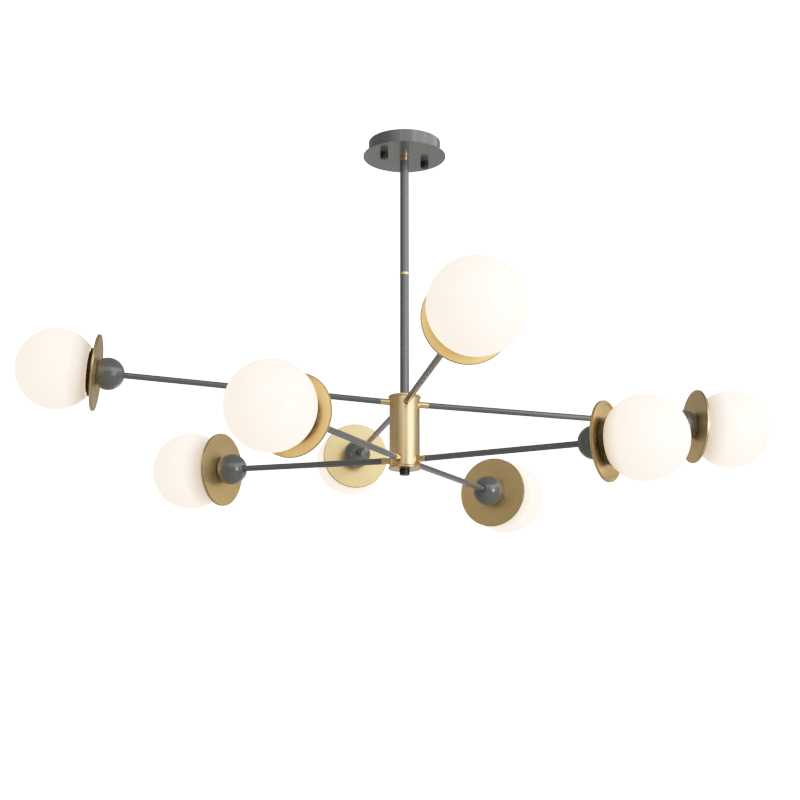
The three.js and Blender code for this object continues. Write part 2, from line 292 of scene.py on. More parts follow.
def addGrain(nodes, links, shader, finish):
    grain = addGroup(nodes, fineGrain)
    grain.inputs["Grain Scale"].default_value = finish["grainScale"]
    grain.inputs["Strength"].default_value = finish["grainStrength"]
    links.new(objectPlace(nodes), grain.inputs["Vector"])
    links.new(grain.outputs["Normal"], shader.inputs["Normal"])


finishPatches = buildFinishPatches()
fineGrain = buildFineGrain()
turnedLines = buildTurnedLines()


# Satin grey-green paint, sprayed on steel
greyPaint = {
    "colours": ((0.092, 0.102, 0.099), (0.102, 0.112, 0.109)),
    "patchScale": 26,
    "roughness": (0.36, 0.44),
    "grainScale": 900,
    "grainStrength": 0.10,
    "coat": 1.0,
    "coatRoughness": 0.15,
}


def makeGreyPaint():
    material, shader, nodes, links = newMaterial("greyPaint")
    links.new(addPatches(nodes, links, shader, greyPaint), shader.inputs["Base Color"])
    addGrain(nodes, links, shader, greyPaint)
    shader.inputs["Coat Weight"].default_value = greyPaint["coat"]
    shader.inputs["Coat Roughness"].default_value = greyPaint["coatRoughness"]
    return material


# Satin champagne brass under clear lacquer, with the fine lines of the lathe
satinBrass = {
    "colours": ((0.91, 0.65, 0.31), (0.95, 0.69, 0.34)),
    "patchScale": 34,
    "roughness": (0.27, 0.31),
    "lineScale": 2600,
    "lineStrength": 0.05,
    "lineTone": (0.97, 1.02),
    "coat": 0.5,
    "coatRoughness": 0.12,
}
# The discs are brushed softer than the turned pieces
discBrass = {
    **satinBrass,
    "colours": ((0.91, 0.65, 0.28), (0.95, 0.69, 0.32)), "roughness": (0.36, 0.42), "lineStrength": 0.02,
}
# Their rim is painted darker on its two corners: a painted dark reflection, where the rim's outer wall
# mirrors the dim surroundings
paintedRimReflection = {
    "radius": 56.4, "fade": 0.35,
    "middle": 0.6, "reach": 1.3, "reachFade": 0.5,
    "tone": 0.35,
}


# Darkens the brass on the rims' two corners: a painted dark reflection
def addPaintedRimReflection(nodes, links, lines, tone):
    inner, outer = (paintedRimReflection["radius"] - paintedRimReflection["fade"]) * mm, paintedRimReflection["radius"] * mm
    onRim = addRange(nodes, links, lines.outputs["Radius"], inner, outer)
    offMiddle = addMath(nodes, links, "SUBTRACT", lines.outputs["Height"], paintedRimReflection["middle"] * mm)
    away = addMath(nodes, links, "ABSOLUTE", offMiddle)
    inner, outer = (paintedRimReflection["reach"] - paintedRimReflection["reachFade"]) * mm, paintedRimReflection["reach"] * mm
    onCorner = addRange(nodes, links, away, inner, outer)
    both = addMath(nodes, links, "MULTIPLY", onRim.outputs["Result"], onCorner.outputs["Result"])
    share = addMath(nodes, links, "MULTIPLY_ADD", both, paintedRimReflection["tone"] - 1, 1)
    return addMath(nodes, links, "MULTIPLY", tone, share)


def makeSatinBrass(name, finish, rim=False):
    material, shader, nodes, links = newMaterial(name)
    colour = addPatches(nodes, links, shader, finish)
    lines = addGroup(nodes, turnedLines)
    lines.inputs["Line Scale"].default_value = finish["lineScale"]
    lines.inputs["Strength"].default_value = finish["lineStrength"]
    links.new(lines.outputs["Normal"], shader.inputs["Normal"])
    tone = nodes.new("ShaderNodeMapRange")
    tone.inputs["To Min"].default_value, tone.inputs["To Max"].default_value = finish["lineTone"]
    links.new(lines.outputs["Mask"], tone.inputs["Value"])
    # only the discs get the painted dark reflection on their rim
    shade = addPaintedRimReflection(nodes, links, lines, tone.outputs["Result"]) if rim else tone.outputs["Result"]
    scaled = nodes.new("ShaderNodeVectorMath")
    scaled.operation = "SCALE"
    links.new(colour, scaled.inputs[0])
    links.new(shade, scaled.inputs["Scale"])
    links.new(scaled.outputs["Vector"], shader.inputs["Base Color"])
    shader.inputs["Metallic"].default_value = 1
    shader.inputs["Coat Weight"].default_value = finish["coat"]
    shader.inputs["Coat Roughness"].default_value = finish["coatRoughness"]
    return material


# Gloss black nuts
blackGloss = {
    "colours": ((0.010, 0.010, 0.010), (0.014, 0.014, 0.015)),
    "patchScale": 300,
    "roughness": (0.10, 0.18),
    "grainScale": 1500,
    "grainStrength": 0.05,
}
# Half-gloss black moulding of the galleries
blackMoulding = {
    "colours": ((0.006, 0.005, 0.004), (0.009, 0.007, 0.006)),
    "patchScale": 120,
    "roughness": (0.28, 0.36),
    "grainScale": 1800,
    "grainStrength": 0.08,
}
# Bright zinc plate on the hidden steel
zincPlate = {
    "colours": ((0.50, 0.51, 0.53), (0.62, 0.63, 0.64)),
    "patchScale": 180,
    "roughness": (0.28, 0.42),
    "grainScale": 1200,
    "grainStrength": 0.08,
}


def makePlainFinish(name, finish, metallic=0.0):
    material, shader, nodes, links = newMaterial(name)
    links.new(addPatches(nodes, links, shader, finish), shader.inputs["Base Color"])
    addGrain(nodes, links, shader, finish)
    shader.inputs["Metallic"].default_value = metallic
    return material


# Opal glass, lit by the lamp inside: that light is painted on as glow, brighter at the ground mouth and
# dimmer just above it, a painted shade by the gallery
opalGlass = {
    "colours": ((0.78, 0.76, 0.72), (0.82, 0.80, 0.77)),
    "patchScale": 22,
    "roughness": (0.22, 0.28),
    "grainScale": 90,
    "grainStrength": 0.03,
    "glow": ((1.0, 0.74, 0.54), (1.0, 0.78, 0.59)),
    "glowScale": 14,
    "glowStrength": 1.8,
    # height from the globe's centre and share of the glow there
    "glowSteps": ((-48.0, 0.9), (-46.2, 0.35), (-40.0, 0.45), (-22.0, 1.0)),
}


def setSteps(mapping, steps):
    # steps are (place, value) pairs, spread over the curve from its first to its last place
    low, high = steps[0][0], steps[-1][0]
    points = mapping.curves[0].points
    points[0].location = (0, steps[0][1])
    points[1].location = (1, steps[-1][1])
    for place, value in steps[1:-1]:
        points.new((place - low) / (high - low), value)
    mapping.update()


def addGlow(nodes, links, finish):
    # the colour of the light, a little uneven over the glass
    noise = nodes.new("ShaderNodeTexNoise")
    noise.inputs["Scale"].default_value = finish["glowScale"]
    links.new(objectPlace(nodes), noise.inputs["Vector"])
    mix = nodes.new("ShaderNodeMix")
    mix.data_type = "RGBA"
    mix.inputs["A"].default_value = (*finish["glow"][0], 1)
    mix.inputs["B"].default_value = (*finish["glow"][1], 1)
    links.new(noise.outputs["Fac"], mix.inputs["Factor"])
    return mix.outputs["Result"]


def makeOpalGlass():
    material, shader, nodes, links = newMaterial("opalGlass")
    links.new(addPatches(nodes, links, shader, opalGlass), shader.inputs["Base Color"])
    addGrain(nodes, links, shader, opalGlass)
    steps = opalGlass["glowSteps"]
    # the painted glow scaled by height: a bright mouth, then painted shade near the gallery
    place = turnedPlace(nodes, links).outputs["Z"]
    height = addRange(nodes, links, place, steps[0][0] * mm, steps[-1][0] * mm)
    share = nodes.new("ShaderNodeFloatCurve")
    links.new(height.outputs["Result"], share.inputs["Value"])
    setSteps(share.mapping, steps)
    glow = nodes.new("ShaderNodeVectorMath")
    glow.operation = "SCALE"
    links.new(addGlow(nodes, links, opalGlass), glow.inputs[0])
    links.new(share.outputs["Value"], glow.inputs["Scale"])
    links.new(glow.outputs["Vector"], shader.inputs["Emission Color"])
    shader.inputs["Emission Strength"].default_value = opalGlass["glowStrength"]
    return material


# The lamp's frosted capsule
lampGlass = {
    "glow": ((1.0, 0.86, 0.66), (1.0, 0.90, 0.74)),
    "glowScale": 160,
    "glowStrength": 6.0,
    "roughness": 0.3,
}


def makeLampGlass():
    material, shader, nodes, links = newMaterial("lampGlass")
    colour = addGlow(nodes, links, lampGlass)
    links.new(colour, shader.inputs["Base Color"])
    links.new(colour, shader.inputs["Emission Color"])
    shader.inputs["Emission Strength"].default_value = lampGlass["glowStrength"]
    shader.inputs["Roughness"].default_value = lampGlass["roughness"]
    return material


finishes = {
    "grey_paint": makeGreyPaint(),
    "satin_brass": makeSatinBrass("satinBrass", satinBrass),
    "black_nut": makePlainFinish("blackGloss", blackGloss),
    "black_gallery": makePlainFinish("blackMoulding", blackMoulding),
    "opal_glass": makeOpalGlass(),
    "zinc_steel": makePlainFinish("zincPlate", zincPlate, metallic=1.0),
}
# the discs' brass carries the painted dark reflection on its rim
ownFinishes = {"lampGlass": makeLampGlass(), "disc": makeSatinBrass("discBrass", discBrass, rim=True)}
setFilm()
buildStudio()
print("finishes and studio made")


# Modelling helpers, with the distances within which a point counts as there, and the normal of a level face
near = {"outline": 0.002, "corner": 0.01, "spun": 0.004, "bore": 0.05, "middle": 0.1}
levelNormal = 0.99


def startFresh():
    if bpy.context.mode != "OBJECT":
        bpy.ops.object.mode_set(mode="OBJECT")
    bpy.ops.object.select_all(action="DESELECT")


def named(name):
    piece = bpy.context.object
    piece.name = piece.data.name = name
    return piece


def addCylinder(name, radius, depth, place, sides=32, rotation=(0, 0, 0)):
    startFresh()
    bpy.ops.mesh.primitive_cylinder_add(
        vertices=sides, radius=radius * mm, depth=depth * mm,
        location=[along * mm for along in place], rotation=rotation,
    )
    return named(name)


def selectWhere(piece, kind, wanted):
    # kind is faces, edges or verts
    bpy.ops.mesh.select_mode(type=kind[:-1].upper())
    bpy.ops.mesh.select_all(action="DESELECT")
    shape = bmesh.from_edit_mesh(piece.data)
    for element in getattr(shape, kind):
        if wanted(element):
            element.select_set(True)
    shape.select_flush_mode()
    bmesh.update_edit_mesh(piece.data)


# A turned piece: one vertex is drawn round the outline, its corners are rounded, and it is spun
# about Z. A corner is (radius, height) or (radius, height, rounding).
def turnPiece(name, outline, sides, roundSteps=4):
    startFresh()
    bpy.ops.mesh.primitive_plane_add(size=mm)
    piece = named(name)
    bpy.ops.object.mode_set(mode="EDIT")
    bpy.ops.mesh.select_mode(type="VERT")
    bpy.ops.mesh.select_all(action="SELECT")
    bpy.ops.mesh.merge(type="CENTER")
    corners = list(outline)
    if corners[0][0] > 0:
        corners.append(corners[0])
    here = Vector((0, 0, 0))
    for index, corner in enumerate(corners):
        step = Vector((corner[0] * mm, 0, corner[1] * mm)) - here
        if index == 0:
            bpy.ops.transform.translate(value=step)
        else:
            bpy.ops.mesh.extrude_region_move(TRANSFORM_OT_translate={"value": step})
        here += step
    bpy.ops.mesh.select_all(action="SELECT")
    bpy.ops.mesh.remove_doubles(threshold=near["outline"] * mm)
    for corner in outline:
        if len(corner) == 3:
            spot = Vector((corner[0] * mm, 0, corner[1] * mm))
            selectWhere(piece, "verts", lambda vertex: (vertex.co - spot).length < near["corner"] * mm)
            bpy.ops.mesh.bevel(offset=corner[2] * mm, segments=roundSteps, affect="VERTICES")
    bpy.ops.mesh.select_all(action="SELECT")
    bpy.ops.mesh.spin(steps=sides, angle=2 * math.pi, center=(0, 0, 0), axis=(0, 0, 1))
    bpy.ops.mesh.select_all(action="SELECT")
    bpy.ops.mesh.remove_doubles(threshold=near["spun"] * mm)
    bpy.ops.mesh.normals_make_consistent(inside=False)
    bpy.ops.object.mode_set(mode="OBJECT")
    return piece


def applyModifier(piece, kind, **values):
    startFresh()
    bpy.context.view_layer.objects.active = piece
    piece.select_set(True)
    modifier = piece.modifiers.new(kind.lower(), kind)
    for key, value in values.items():
        setattr(modifier, key, value)
    bpy.ops.object.modifier_apply(modifier=modifier.name)


def cutWith(piece, tools):
    for tool in tools:
        applyModifier(piece, "BOOLEAN", operation="DIFFERENCE", object=tool, solver="EXACT")
        bpy.data.objects.remove(tool)


def roundEdges(piece, width, steps=3, angle=40):
    applyModifier(
        piece, "BEVEL", width=width * mm, segments=steps, limit_method="ANGLE",
        angle_limit=math.radians(angle), use_clamp_overlap=True, harden_normals=False,
    )


def boreEnds(piece, outerRadius, boreRadius):
    # opens a round hole through both flat ends of a bar that stands on Z
    selectWhere(piece, "faces", lambda face: abs(face.normal.z) > levelNormal)
    bpy.ops.mesh.inset(thickness=(outerRadius - boreRadius) * mm)
    bpy.ops.mesh.delete(type="FACE")
    reach = (boreRadius + near["bore"]) * mm
    selectWhere(piece, "verts", lambda vertex: vertex.co.xy.length < reach)
    bpy.ops.mesh.bridge_edge_loops()


# Places the object in its mesh, shades it and notes each point's place about the piece's own axis
def finishShape(piece, smoothAngle=38, weighted=True):
    startFresh()
    bpy.context.view_layer.objects.active = piece
    piece.select_set(True)
    bpy.ops.object.transform_apply(location=True, rotation=True, scale=True)
    bpy.ops.object.shade_smooth_by_angle(angle=math.radians(smoothAngle))
    if weighted:
        applyModifier(piece, "WEIGHTED_NORMAL", keep_sharp=True)
    turning = piece.data.attributes.new("turning", "FLOAT_VECTOR", "POINT")
    for vertex, note in zip(piece.data.vertices, turning.data):
        note.vector = vertex.co
    return piece


def dress(piece, slot, body, *nodes, finish=None):
    piece.data.materials.clear()
    piece.data.materials.append(finish or finishes[slot])
    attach(piece, body)
    if nodes:
        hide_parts(*nodes)


# Ceiling bracket: a zinc plated strip with two slots and two threaded studs
bracket = {
    "length": 94, "width": 20, "thickness": 2, "cornerRound": 5, "edgeRound": 0.25,
    "screwSpacing": 46, "slotRadius": 2.5, "slotLength": 3, "slotToolDepth": 10,
    "studSpacing": 73.4, "studRadius": 2, "studEnd": -31.3, "studChamfer": 0.5, "studNeck": 0.2,
    "studSunk": 0.5, "studSides": 24, "studToolDepth": 20, "threadPitch": 0.8, "threadDepth": 0.25,
    "turn": 31.8,
}


def makeBracket():
    startFresh()
    bpy.ops.mesh.primitive_cube_add(size=1, location=(0, 0, -bracket["thickness"] / 2 * mm))
    strip = named("ceilingBracket")
    strip.scale = [bracket[side] * mm for side in ("length", "width", "thickness")]
    bpy.ops.object.transform_apply(location=True, rotation=True, scale=True)
    bpy.ops.object.mode_set(mode="EDIT")
    least = bracket["thickness"] / 2 * mm  # more than that, and the edge is an upright one
    selectWhere(strip, "edges", lambda edge: abs(edge.verts[0].co.z - edge.verts[1].co.z) > least)
    bpy.ops.mesh.bevel(offset=bracket["cornerRound"] * mm, segments=6, affect="EDGES")
    slots = []
    for side in (-1, 1):
        place = (side * bracket["screwSpacing"] / 2, 0, 0)
        slot = addCylinder("slotTool", bracket["slotRadius"], bracket["slotToolDepth"], place)
        bpy.ops.object.mode_set(mode="EDIT")
        selectWhere(slot, "verts", lambda vertex: vertex.co.x * side < -near["middle"] * mm)
        bpy.ops.transform.translate(value=(-side * bracket["slotLength"] * mm, 0, 0))
        bpy.ops.object.mode_set(mode="OBJECT")
        slots.append(slot)
    cutWith(strip, slots)
    roundEdges(strip, bracket["edgeRound"], steps=2)

    underside, radius = -bracket["thickness"], bracket["studRadius"]
    outline = [(0, bracket["studEnd"]), (radius - bracket["studChamfer"], bracket["studEnd"])]
    height = bracket["studEnd"] + bracket["studChamfer"]
    while height < underside - bracket["threadPitch"]:
        outline.append((radius, height))
        outline.append((radius - bracket["threadDepth"], height + bracket["threadPitch"] / 2))
        height += bracket["threadPitch"]
    outline.append((radius, underside - bracket["studNeck"]))
    outline += [(radius, -bracket["studSunk"]), (0, -bracket["studSunk"])]
    studs = [turnPiece("stud", outline, bracket["studSides"]) for side in (-1, 1)]
    for side, stud in zip((-1, 1), studs):
        stud.location.x = side * bracket["studSpacing"] / 2 * mm
    startFresh()
    for part in (strip, *studs):
        part.select_set(True)
    bpy.context.view_layer.objects.active = strip
    bpy.ops.object.join()
    strip.rotation_euler.z = math.radians(bracket["turn"])
    finishShape(strip, weighted=False)
    dress(strip, "zinc_steel", "canopy", "ceiling_bracket")


def studPlace(side, height):
    reach, turn = side * bracket["studSpacing"] / 2, math.radians(bracket["turn"])
    return reach * math.cos(turn), reach * math.sin(turn), height


def studTools(radius):
    places = [studPlace(side, plate["top"]) for side in (-1, 1)]
    return [addCylinder("studTool", radius, bracket["studToolDepth"], place) for place in places]


# Canopy drum: a shallow spun cup, open to the ceiling
drum = {
    "radius": 55.7, "height": 22, "wall": 1.2, "rimWidth": 25.4,
    "edgeRound": 0.5, "sides": 144, "studHole": 2.3,
}


def makeDrum():
    place = (0, 0, -drum["height"] / 2)
    piece = addCylinder("canopyDrum", drum["radius"], drum["height"], place, sides=drum["sides"])
    bpy.ops.object.mode_set(mode="EDIT")
    # the side against the ceiling stays open
    selectWhere(piece, "faces", lambda face: face.normal.z > levelNormal)
    bpy.ops.mesh.delete(type="FACE")
    selectWhere(piece, "faces", lambda face: face.normal.z < -levelNormal)
    bpy.ops.mesh.inset(thickness=drum["rimWidth"] * mm)
    bpy.ops.mesh.delete(type="FACE")
    applyModifier(piece, "SOLIDIFY", thickness=drum["wall"] * mm, offset=-1, use_even_offset=True)
    startFresh()
    cutWith(piece, studTools(drum["studHole"]))
    roundEdges(piece, drum["edgeRound"])
    finishShape(piece)
    dress(piece, "grey_paint", "canopy", "canopy_drum")


# Canopy plate, screwed up against the drum
plate = {
    "radius": 63.8, "top": -22, "thickness": 1.6, "bore": 5.3,
    "edgeRound": 0.5, "sides": 160, "studHole": 2.3,
}


def makePlate():
    place = (0, 0, plate["top"] - plate["thickness"] / 2)
    piece = addCylinder("canopyPlate", plate["radius"], plate["thickness"], place, sides=plate["sides"])
    bpy.ops.object.mode_set(mode="EDIT")
    boreEnds(piece, plate["radius"], plate["bore"])
    startFresh()
    cutWith(piece, studTools(plate["studHole"]))
    roundEdges(piece, plate["edgeRound"])
    finishShape(piece)
    dress(piece, "grey_paint", "canopy", "canopy_plate")


# Knurled black nuts with a closed, rounded end; heights run down from the face that they meet
capNut = {
    "radius": 6.1, "height": 11, "endRound": 2.3, "bore": 2.3, "boreDepth": 8,
    "knurlTop": -2.0, "knurlBottom": -7.6, "groove": 0.4, "ridges": 30, "ridgeDepth": 0.3, "seatRound": 0.3,
}
bottomNut = {
    "radius": 7.85, "height": 9, "endRound": 1.6, "bore": 5.2, "boreDepth": 6.8,
    "knurlTop": -1.5, "knurlBottom": -6.6, "groove": 0.35, "ridges": 38, "ridgeDepth": 0.25, "seatRound": 0.3,
}
# How near a face of the knurled band comes to the band's middle, and to the nut's radius
band = {"height": 1, "depth": 0.3}


def makeNut(name, nut):
    radius, groove = nut["radius"], nut["groove"]
    outline = [
        (0, -nut["height"]),
        (radius, -nut["height"], nut["endRound"]),
        (radius, nut["knurlBottom"] - 2 * groove),
        (radius - groove, nut["knurlBottom"] - groove),
        (radius, nut["knurlBottom"]),
        (radius, nut["knurlTop"]),
        (radius - groove, nut["knurlTop"] + groove),
        (radius, nut["knurlTop"] + 2 * groove),
        (radius, 0, nut["seatRound"]),
        (nut["bore"], 0),
        (nut["bore"], -nut["boreDepth"]),
        (0, -nut["boreDepth"]),
    ]
    piece = turnPiece(name, outline, nut["ridges"] * 2, roundSteps=6)
    middle = (nut["knurlTop"] + nut["knurlBottom"]) / 2 * mm
    width = math.pi / nut["ridges"]

    def isFlute(face):
        centre = face.calc_center_median()
        isMiddle = abs(centre.z - middle) < band["height"] * mm
        onBand = isMiddle and centre.xy.length > (radius - band["depth"]) * mm
        return onBand and int((math.atan2(centre.y, centre.x) + math.pi) / width) % 2 == 0

    bpy.ops.object.mode_set(mode="EDIT")
    selectWhere(piece, "faces", isFlute)
    bpy.ops.mesh.extrude_region_shrink_fatten(TRANSFORM_OT_shrink_fatten={"value": -nut["ridgeDepth"] * mm})
    bpy.ops.object.mode_set(mode="OBJECT")
    return finishShape(piece)


def makeCapNuts():
    master = makeNut("capNut", capNut)
    for side, place in ((-1, "Left"), (1, "Right")):
        piece = copyPiece(master, "capNut" + place)
        seat = Vector(studPlace(side, plate["top"] - plate["thickness"]))
        piece.data.transform(Matrix.Translation(seat * mm))
        dress(piece, "black_nut", "canopy", "cap_nut_" + place.lower())
    bpy.data.objects.remove(master)


def copyPiece(master, name):
    piece = master.copy()
    piece.data = master.data.copy()
    piece.name = piece.data.name = name
    bpy.context.scene.collection.objects.link(piece)
    return piece


makeBracket()
makeDrum()
makePlate()
makeCapNuts()
print("canopy made")


# Stem: brass collar, upper rod with its lock nut, brass ring, lower rod
stem = {
    "sides": 72,
    "collarRadius": 7.35, "collarTop": -23.6, "collarBottom": -29.9, "collarBore": 5.3, "collarEdge": 0.5,
    "rodRadius": 7.05, "rodBore": 4.7, "rodTop": -30.2, "rodEdge": 0.5,
    "neckRadius": 5, "neckBore": 3, "neckTop": -18.2, "neckFloor": -34.2, "neckEdge": 0.4,
    "nutRadius": 11, "nutBottom": -21.7, "nutGap": 0.1,
    "ringRadius": 7.35, "ringTop": -211.1, "ringBottom": -216.1, "ringEdge": 0.9,
    "nippleRadius": 4.4, "nippleBore": 3, "nippleTop": -199.1, "nippleBottom": -228.1,
    "hubTop": -404.7, "endWall": 4, "tailRadius": 4.9, "tailBore": 3, "tailEnd": -522.6, "tailEdge": 0.5,
    "portRadius": 2.2, "portHeight": -419.7, "portDepth": 10,
}


def makeStem():
    piece = turnPiece("stemCollar", [
        (stem["collarBore"], stem["collarBottom"]),
        (stem["collarRadius"], stem["collarBottom"], stem["collarEdge"]),
        (stem["collarRadius"], stem["collarTop"], stem["collarEdge"]),
        (stem["collarBore"], stem["collarTop"]),
    ], stem["sides"])
    dress(finishShape(piece), "satin_brass", "canopy", "stem_collar")

    piece = turnPiece("upperRod", [
        (stem["rodBore"], stem["ringTop"]),
        (stem["rodRadius"], stem["ringTop"], stem["rodEdge"]),
        (stem["rodRadius"], stem["rodTop"], stem["rodEdge"]),
        (stem["neckRadius"], stem["rodTop"]),
        (stem["neckRadius"], stem["neckTop"], stem["neckEdge"]),
        (stem["neckBore"], stem["neckTop"]),
        (stem["neckBore"], stem["neckFloor"]),
        (stem["rodBore"], stem["neckFloor"]),
    ], stem["sides"])
    dress(finishShape(piece), "grey_paint", "stem_and_arms", "upper_rod")

    nutBore = stem["neckRadius"] + stem["nutGap"]
    nut = makeHexNut("stemLockNut", stem["nutRadius"], nutBore, stem["nutBottom"], stem["neckTop"])
    dress(nut, "zinc_steel", "stem_and_arms")

    piece = turnPiece("rodRing", [
        (stem["nippleBore"], stem["nippleBottom"]),
        (stem["nippleRadius"], stem["nippleBottom"]),
        (stem["nippleRadius"], stem["ringBottom"]),
        (stem["ringRadius"], stem["ringBottom"], stem["ringEdge"]),
        (stem["ringRadius"], stem["ringTop"], stem["ringEdge"]),
        (stem["nippleRadius"], stem["ringTop"]),
        (stem["nippleRadius"], stem["nippleTop"]),
        (stem["nippleBore"], stem["nippleTop"]),
    ], stem["sides"])
    dress(finishShape(piece), "satin_brass", "stem_and_arms", "rod_ring")

    piece = turnPiece("lowerRod", [
        (0, stem["tailEnd"]),
        (stem["tailRadius"], stem["tailEnd"], stem["tailEdge"]),
        (stem["tailRadius"], stem["hubTop"]),
        (stem["rodRadius"], stem["hubTop"], stem["rodEdge"]),
        (stem["rodRadius"], stem["ringBottom"], stem["rodEdge"]),
        (stem["rodBore"], stem["ringBottom"]),
        (stem["rodBore"], stem["hubTop"] + stem["endWall"]),
        (stem["tailBore"], stem["hubTop"] + stem["endWall"]),
        (stem["tailBore"], stem["portHeight"] - stem["portRadius"]),
        (0, stem["portHeight"] - stem["portRadius"]),
    ], stem["sides"])
    place = (stem["portDepth"] / 2, 0, stem["portHeight"])
    port = addCylinder("portTool", stem["portRadius"], stem["portDepth"], place, rotation=(0, math.pi / 2, 0))
    cutWith(piece, [port])
    dress(finishShape(piece), "grey_paint", "stem_and_arms", "lower_rod")


# Lock nut: the corners of its top are turned off; the shares are of its radius
hexNut = {
    "flatShare": 0.86, "slopeShare": 1.02, "dropShare": 0.09, "clearShare": 1.3,
    "overrun": 1, "toolSides": 48, "boreSides": 40, "boreOverrun": 6, "edgeRound": 0.15,
}


def makeHexNut(name, radius, bore, bottom, top):
    height, place = top - bottom, (0, 0, (top + bottom) / 2)
    nut = addCylinder(name, radius, height, place, sides=6)
    slopeEnd = height - radius * hexNut["dropShare"]
    cone = turnPiece("nutTool", [
        (radius * hexNut["flatShare"], height + hexNut["overrun"]),
        (radius * hexNut["flatShare"], height),
        (radius * hexNut["slopeShare"], slopeEnd),
        (radius * hexNut["clearShare"], slopeEnd),
        (radius * hexNut["clearShare"], height + hexNut["overrun"]),
    ], hexNut["toolSides"])
    cone.location.z = bottom * mm
    boreTool = addCylinder("boreTool", bore, height + hexNut["boreOverrun"], place, sides=hexNut["boreSides"])
    cutWith(nut, [cone, boreTool])
    roundEdges(nut, hexNut["edgeRound"], steps=2, angle=25)
    return finishShape(nut)


makeStem()
print("stem made")


# The eight arms as they hang: turn about the stem and rise above level, in degrees
arms = {
    "upper_left": {"turn": 185.3, "rise": 4.7, "level": -416.5, "reach": 515.5},
    "upper_right": {"turn": 11.4, "rise": -1.9, "level": -416.5, "reach": 515.5},
    "upper_front": {"turn": 279.5, "rise": -0.3, "level": -416.5, "reach": 515.5},
    "upper_back": {"turn": 101.0, "rise": 1.5, "level": -416.5, "reach": 515.5},
    "lower_left": {"turn": 153.7, "rise": 2.4, "level": -502.3, "reach": 377.9},
    "lower_right": {"turn": 330.6, "rise": -0.9, "level": -502.3, "reach": 377.9},
    "lower_front": {"turn": 243.2, "rise": 0.5, "level": -502.3, "reach": 377.9},
    "lower_back": {"turn": 63.0, "rise": 0.5, "level": -502.3, "reach": 377.9},
}


def alongArm(arm, station):
    # stands a shape that was made about Z on the arm, at a distance from the stem's axis
    return (
        Matrix.Translation((0, 0, arm["level"] * mm))
        @ Matrix.Rotation(math.radians(arm["turn"]), 4, "Z")
        @ Matrix.Rotation(math.radians(90 - arm["rise"]), 4, "Y")
        @ Matrix.Translation((0, 0, station * mm))
    )


def wordsFor(place):
    return "".join(word.capitalize() for word in place.split("_"))


# Hub: a brass sleeve with a rolled upper lip, and a bottom cap with a flared one
hub = {
    "sides": 144,
    "top": -404.7, "bottom": -516.1, "radius": 22.8, "wall": 2.5, "roof": 3,
    "lipRadius": 24.4, "lipHeight": 3.7, "lipRound": 1.5, "lipUnderRound": 0.8,
    "grooveDepth": 0.6, "grooveHeight": 1.0, "grooveRound": 0.15, "footRound": 0.25,
    "stemHole": 5.2, "spigotWall": 2, "spigotHeight": 2.4, "spigotGap": 0.3,
    "armHole": 5.4, "armHoleMouth": 5.9, "armHoleStart": 9, "armHoleFlare": (-1.1, 0.4), "armHoleEnd": 6,
    "toolSides": 48,
    # the cap's flared lip, from the lip's radius and the hub's bottom, with the rounding of each corner
    "capLip": ((-0.5, 0, 0.5), (0, 1.1, 0.5), (-0.3, 2.3, 0.6)), "capNeckGap": 0.35, "capNeckRound": 0.3,
}


def makeHub():
    bore = hub["radius"] - hub["wall"]
    lipBottom = hub["top"] - hub["lipHeight"]
    sleeve = turnPiece("hubSleeve", [
        (bore, hub["bottom"] + hub["lipHeight"]),
        (hub["radius"], hub["bottom"] + hub["lipHeight"], hub["footRound"]),
        (hub["radius"], lipBottom - hub["grooveHeight"], hub["grooveRound"]),
        (hub["radius"] - hub["grooveDepth"], lipBottom - hub["grooveHeight"]),
        (hub["radius"] - hub["grooveDepth"], lipBottom),
        (hub["lipRadius"], lipBottom, hub["lipUnderRound"]),
        (hub["lipRadius"], hub["top"], hub["lipRound"]),
        (hub["stemHole"], hub["top"]),
        (hub["stemHole"], hub["top"] - hub["roof"]),
        (bore, hub["top"] - hub["roof"]),
    ], hub["sides"])
    tools = []
    flareStart, flareEnd = (hub["radius"] + past for past in hub["armHoleFlare"])
    toolEnd = hub["radius"] + hub["armHoleEnd"]
    for arm in arms.values():
        tool = turnPiece("armHoleTool", [
            (0, hub["armHoleStart"]), (hub["armHole"], hub["armHoleStart"]), (hub["armHole"], flareStart),
            (hub["armHoleMouth"], flareEnd), (hub["armHoleMouth"], toolEnd), (0, toolEnd),
        ], hub["toolSides"])
        tool.data.transform(alongArm(arm, 0))
        tools.append(tool)
    cutWith(sleeve, tools)
    dress(finishShape(sleeve), "satin_brass", "stem_and_arms", "hub_sleeve")

    lipTop = hub["bottom"] + hub["lipHeight"]
    spigot = bore - hub["spigotGap"]
    cap = turnPiece("hubBottomCap", [
        (hub["stemHole"], hub["bottom"]),
        *[(hub["lipRadius"] + out, hub["bottom"] + up, rounding) for out, up, rounding in hub["capLip"]],
        (hub["radius"] + hub["capNeckGap"], lipTop, hub["capNeckRound"]),
        (spigot, lipTop),
        (spigot, lipTop + hub["spigotHeight"]),
        (spigot - hub["spigotWall"], lipTop + hub["spigotHeight"]),
        (spigot - hub["spigotWall"], lipTop),
        (hub["stemHole"], lipTop),
    ], hub["sides"])
    dress(finishShape(cap), "satin_brass", "stem_and_arms", "hub_bottom_cap")

    nut = makeNut("bottomNut", bottomNut)
    nut.data.transform(Matrix.Translation((0, 0, hub["bottom"] * mm)))
    dress(nut, "black_nut", "stem_and_arms", "bottom_nut")


makeHub()
print("hub made")


